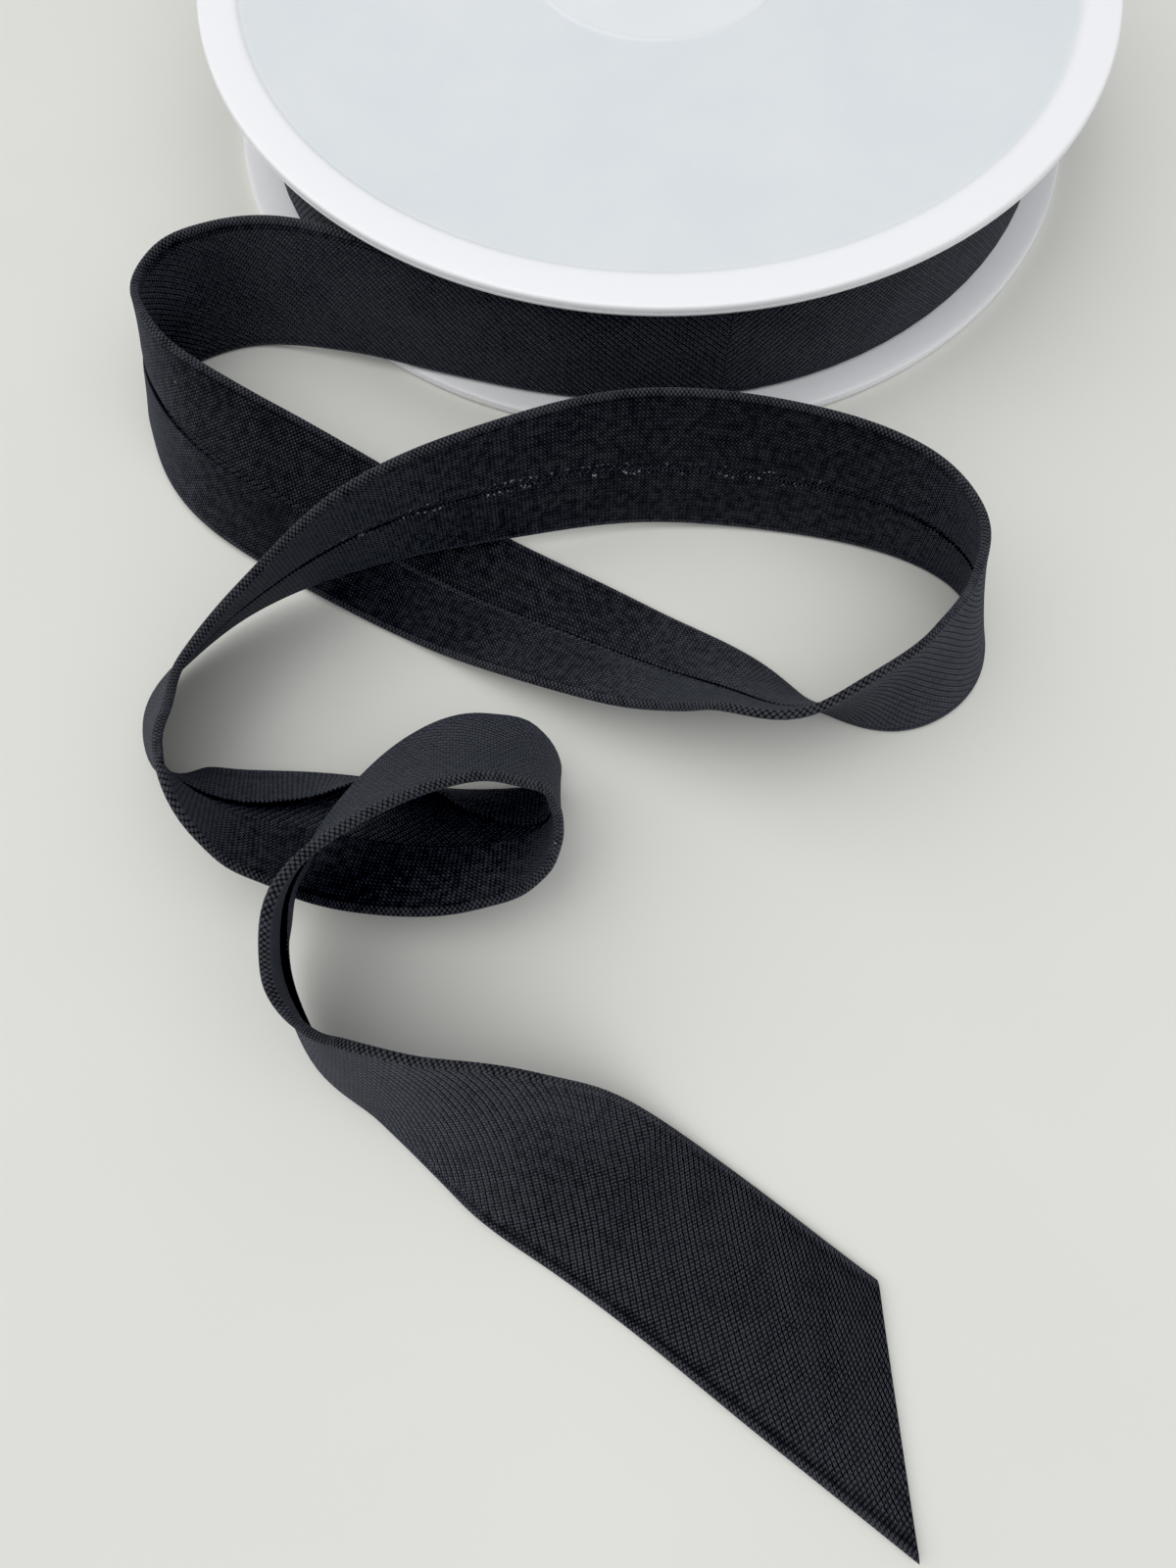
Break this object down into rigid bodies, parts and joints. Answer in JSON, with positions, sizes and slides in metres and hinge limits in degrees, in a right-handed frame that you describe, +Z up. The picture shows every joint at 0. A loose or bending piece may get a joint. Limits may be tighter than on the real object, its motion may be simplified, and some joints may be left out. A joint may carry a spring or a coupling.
{
  "type": "roll of bias tape",
  "caption": "White plastic spool wound with black folded bias tape, lying flat, its loose end twisting in loops on the table to a slanting cut end.",
  "frame": {"origin": "middle of the footprint of the spool and the loose end together, on the table surface", "axes": "+Z up, along the spool's axis; the spool's axis is towards +Y from the origin and the loose end lies towards -Y, its cut end at the lowest Y"},
  "size_m": [0.134, 0.2672, 0.0294],
  "materials": {
    "spool_plastic": "smooth moulded, slightly translucent, satin",
    "tape_cloth": "plain-woven cotton blend cut on the bias, matt, ironed into its folds"
  },
  "bodies": {
    "root": {"flange_bottom": "spool_plastic", "core": "spool_plastic", "flange_top": "spool_plastic", "tape_roll": "tape_cloth", "tape_loose_end": "tape_cloth"}
  },
  "joints": []
}
